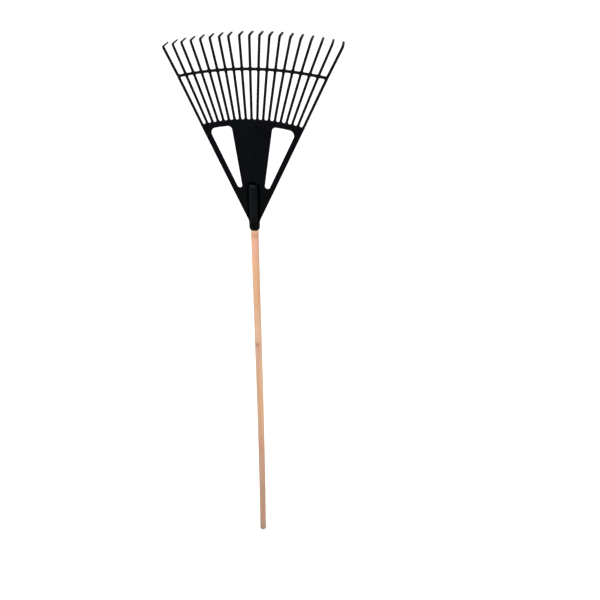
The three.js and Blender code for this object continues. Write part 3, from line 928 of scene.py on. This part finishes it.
def pole_wood():
    """Turned softwood with streaks and fibres along it, coloured by height, with painted shade on its left
    side, and with a knot, bruises and other marks.
    """
    material, nodes, links, shader = node_material("pole_wood")
    broad = noise_node(nodes, links, stretched(nodes, links, BROAD_SCALES), 1, 3)
    streak = noise_node(nodes, links, stretched(nodes, links, STREAK_SCALES), 1, 5, 0.6)
    fibre = noise_node(nodes, links, stretched(nodes, links, FIBRE_SCALES), 1, 3)
    tone = ramp_node(nodes, links, broad.outputs["Fac"], [
        (0.32, (0.80, 0.76, 0.74)),
        (0.45, (0.97, 0.93, 0.86)),
        (0.58, (1.0, 0.96, 0.82)),
        (0.72, (1.0, 0.86, 0.88)),
    ])
    line = ramp_node(nodes, links, streak.outputs["Fac"], [
        (0.35, (0.80, 0.76, 0.74)),
        (0.62, (1.0, 1.0, 1.0)),
    ])
    grain = ramp_node(nodes, links, fibre.outputs["Fac"], [
        (0.3, (0.93, 0.92, 0.91)),
        (0.6, (1.0, 1.0, 1.0)),
    ])
    height = height_ramp(nodes, links, WOOD_BY_HEIGHT)
    across = along(nodes, links, "X", -HANDLE_RADIUS * MM, HANDLE_RADIUS * MM)
    colour = multiplied(nodes, links, 1.0, height.outputs["Color"], tone.outputs["Color"])
    colour = multiplied(nodes, links, 0.5, colour, line.outputs["Color"])
    colour = multiplied(nodes, links, 0.8, colour, grain.outputs["Color"])
    # Painted shade: the pole's left side is darker and less red than its right.
    side = ramp_node(nodes, links, across, [
        (0.0, (0.92, 0.97, 1.0)),
        (0.5, (0.99, 0.99, 0.99)),
        (1.0, (1.0, 1.0, 1.0)),
    ])
    colour = multiplied(nodes, links, 1.0, colour, side.outputs["Color"])
    for mark in KNOT + BRUISES:
        colour = marked(nodes, links, colour, mark)
    links.new(colour, shader.inputs["Base Color"])
    shader.inputs["Roughness"].default_value = 0.6
    shader.inputs["Specular IOR Level"].default_value = 0.3
    bump = bump_node(nodes, links, fibre.outputs["Fac"], 0.35, FIBRE_HEIGHT)
    links.new(bump.outputs["Normal"], shader.inputs["Normal"])
    return material


def zinc_steel():
    """Zinc plate on the screw, with fine blotches."""
    material, nodes, links, shader = node_material("zinc_steel")
    blotch = noise_node(nodes, links, stretched(nodes, links, (1, 1, 1)), BLOTCH_SCALE, 4)
    colour = ramp_node(nodes, links, blotch.outputs["Fac"], [
        (0.35, (0.42, 0.43, 0.44)),
        (0.65, (0.62, 0.62, 0.6)),
    ])
    links.new(colour.outputs["Color"], shader.inputs["Base Color"])
    shader.inputs["Metallic"].default_value = 1
    shader.inputs["Roughness"].default_value = 0.38
    return material


def studio_white():
    """The floor's white, with a little light of its own so that it fades into the background."""
    material, _, _, shader = node_material("studio_white")
    shader.inputs["Base Color"].default_value = (0.92, 0.92, 0.92, 1)
    shader.inputs["Roughness"].default_value = 0.9
    shader.inputs["Specular IOR Level"].default_value = 0
    shader.inputs["Emission Color"].default_value = (1, 1, 1, 1)
    shader.inputs["Emission Strength"].default_value = 0.25
    return material


# ---- Studio ----

CAMERA_PLACE = (0.47963, -1.60741, 1.91416)  # metres
CAMERA_TILT = 0.46121  # radians, like the next two
CAMERA_ROLL = 0.10257
CAMERA_PAN = -0.22765
SENSOR_WIDTH = 36
LENS_LENGTH = 34.182
LENS_SHIFT = 0.04225  # as a share of the sensor's width
FLOOR_HALF_WIDTH = 40


def make_camera():
    """Above and to the right of the rake, looking down at it, with the whole tool in the picture."""
    data = bpy.data.cameras.new("camera")
    data.sensor_width = SENSOR_WIDTH
    data.lens = LENS_LENGTH
    data.shift_x = LENS_SHIFT
    data.clip_start = 0.05
    data.clip_end = 100
    camera = bpy.data.objects.new("camera", data)
    pan = Matrix.Rotation(CAMERA_PAN, 3, "Z")
    roll = Matrix.Rotation(CAMERA_ROLL, 3, "Y")
    tilt = Matrix.Rotation(CAMERA_TILT, 3, "X")
    right, forward, up = pan @ roll @ tilt  # the camera's own directions are this matrix's rows
    turn = Matrix([(right[i], up[i], -forward[i]) for i in range(3)]).to_4x4()
    camera.matrix_world = Matrix.Translation(CAMERA_PLACE) @ turn
    bpy.context.scene.collection.objects.link(camera)
    bpy.context.scene.camera = camera


def area_light(name, place, target, size, watts):
    """A square light at place that faces target."""
    data = bpy.data.lights.new(name, "AREA")
    data.shape = "RECTANGLE"
    data.size = size
    data.size_y = size
    data.energy = watts
    light = bpy.data.objects.new(name, data)
    light.location = place
    light.rotation_euler = (Vector(target) - Vector(place)).to_track_quat("-Z", "Y").to_euler()
    bpy.context.scene.collection.objects.link(light)


def make_studio():
    """An even white surround, a wide white floor, and one soft light in front, above on the left."""
    world = bpy.data.worlds.new("studio")
    world.use_nodes = True
    background = world.node_tree.nodes["Background"]
    background.inputs["Color"].default_value = (1, 1, 1, 1)
    background.inputs["Strength"].default_value = 1.02
    bpy.context.scene.world = world
    half = FLOOR_HALF_WIDTH
    corners = [(-half, -half, 0), (half, -half, 0), (half, half, 0), (-half, half, 0)]
    mesh = bpy.data.meshes.new("floor")
    mesh.from_pydata(corners, [], [(0, 1, 2, 3)])
    mesh.materials.append(studio_white())
    floor = bpy.data.objects.new("floor", mesh)
    bpy.context.scene.collection.objects.link(floor)
    area_light("key", place=(-0.5, -1.16, 2.72), target=(0, 0, 1.45), size=0.7, watts=18)
    bpy.context.scene.view_settings.view_transform = "Standard"


# ---- Assembly ----

make_camera()

plastic = black_plastic(
    "black_polypropylene",
    darkest=(0.0006, 0.0009, 0.0019),
    lightest=(0.0014, 0.0018, 0.0031),
    specular=0.03,
    roughness=0.40,
    low_tint=(1, 1, 0.6),
)
# A glossier copy of the plastic for the boss's crest, its colour lighter as a painted highlight.
crest_highlight_plastic = black_plastic(
    "glossy_crest_highlight_polypropylene",
    darkest=(0.0010, 0.0014, 0.0022),
    lightest=(0.0026, 0.0030, 0.0036),
    specular=0.045,
    roughness=0.36,
)
# A glossier copy of the plastic for the boss's chamfer, its colour lighter still as a painted highlight.
chamfer_highlight_plastic = black_plastic(
    "chamfer_highlight_polypropylene",
    darkest=(0.0018, 0.0022, 0.0032),
    lightest=(0.0042, 0.0046, 0.0060),
    specular=0.05,
    roughness=0.36,
)
# A matt copy of the plastic for the boss's steep sides, its colour darker as painted shade.
matt_flank_shade_plastic = black_plastic(
    "matt_flank_shade_polypropylene",
    darkest=(0.0003, 0.0005, 0.0009),
    lightest=(0.0006, 0.0008, 0.0012),
    specular=0,
    roughness=0.8,
)
tine_plastic = black_plastic(
    "tine_polypropylene",
    darkest=(0.0020, 0.0020, 0.0024),
    lightest=(0.0034, 0.0034, 0.0038),
    specular=0.04,
    roughness=0.40,
)
wood = pole_wood()
steel = zinc_steel()

plate = make_plate()
socket = make_socket()
plate.data.materials.append(plastic)
# The boss gets painted highlights on its crest and chamfer, and painted shade on its steep sides.
paint_socket_light_and_shade(socket, plastic, crest_highlight_plastic, chamfer_highlight_plastic, matt_flank_shade_plastic)
for piece in (plate, socket):
    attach(piece, RIGID)
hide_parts("rake_head")

# The lower tines and the crossbar in one piece; on the real rake they bend between the root band's crest and
# the crossbar's lowest points, at its ends.
fan = make_fan()
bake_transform(fan)
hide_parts("crossbar", *[f"tine_{n:02d}" for n in range(1, TINE_COUNT + 1)])
fan.data.materials.append(tine_plastic)

for number in range(TINE_COUNT):
    tip = make_tip(number)
    tip.data.materials.append(tine_plastic)

handle = make_handle()
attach(handle, RIGID)
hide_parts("handle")
handle.data.materials.append(wood)

screw = make_screw()
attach(screw, RIGID)
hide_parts("fixing_screw")
screw.data.materials.append(steel)

make_studio()
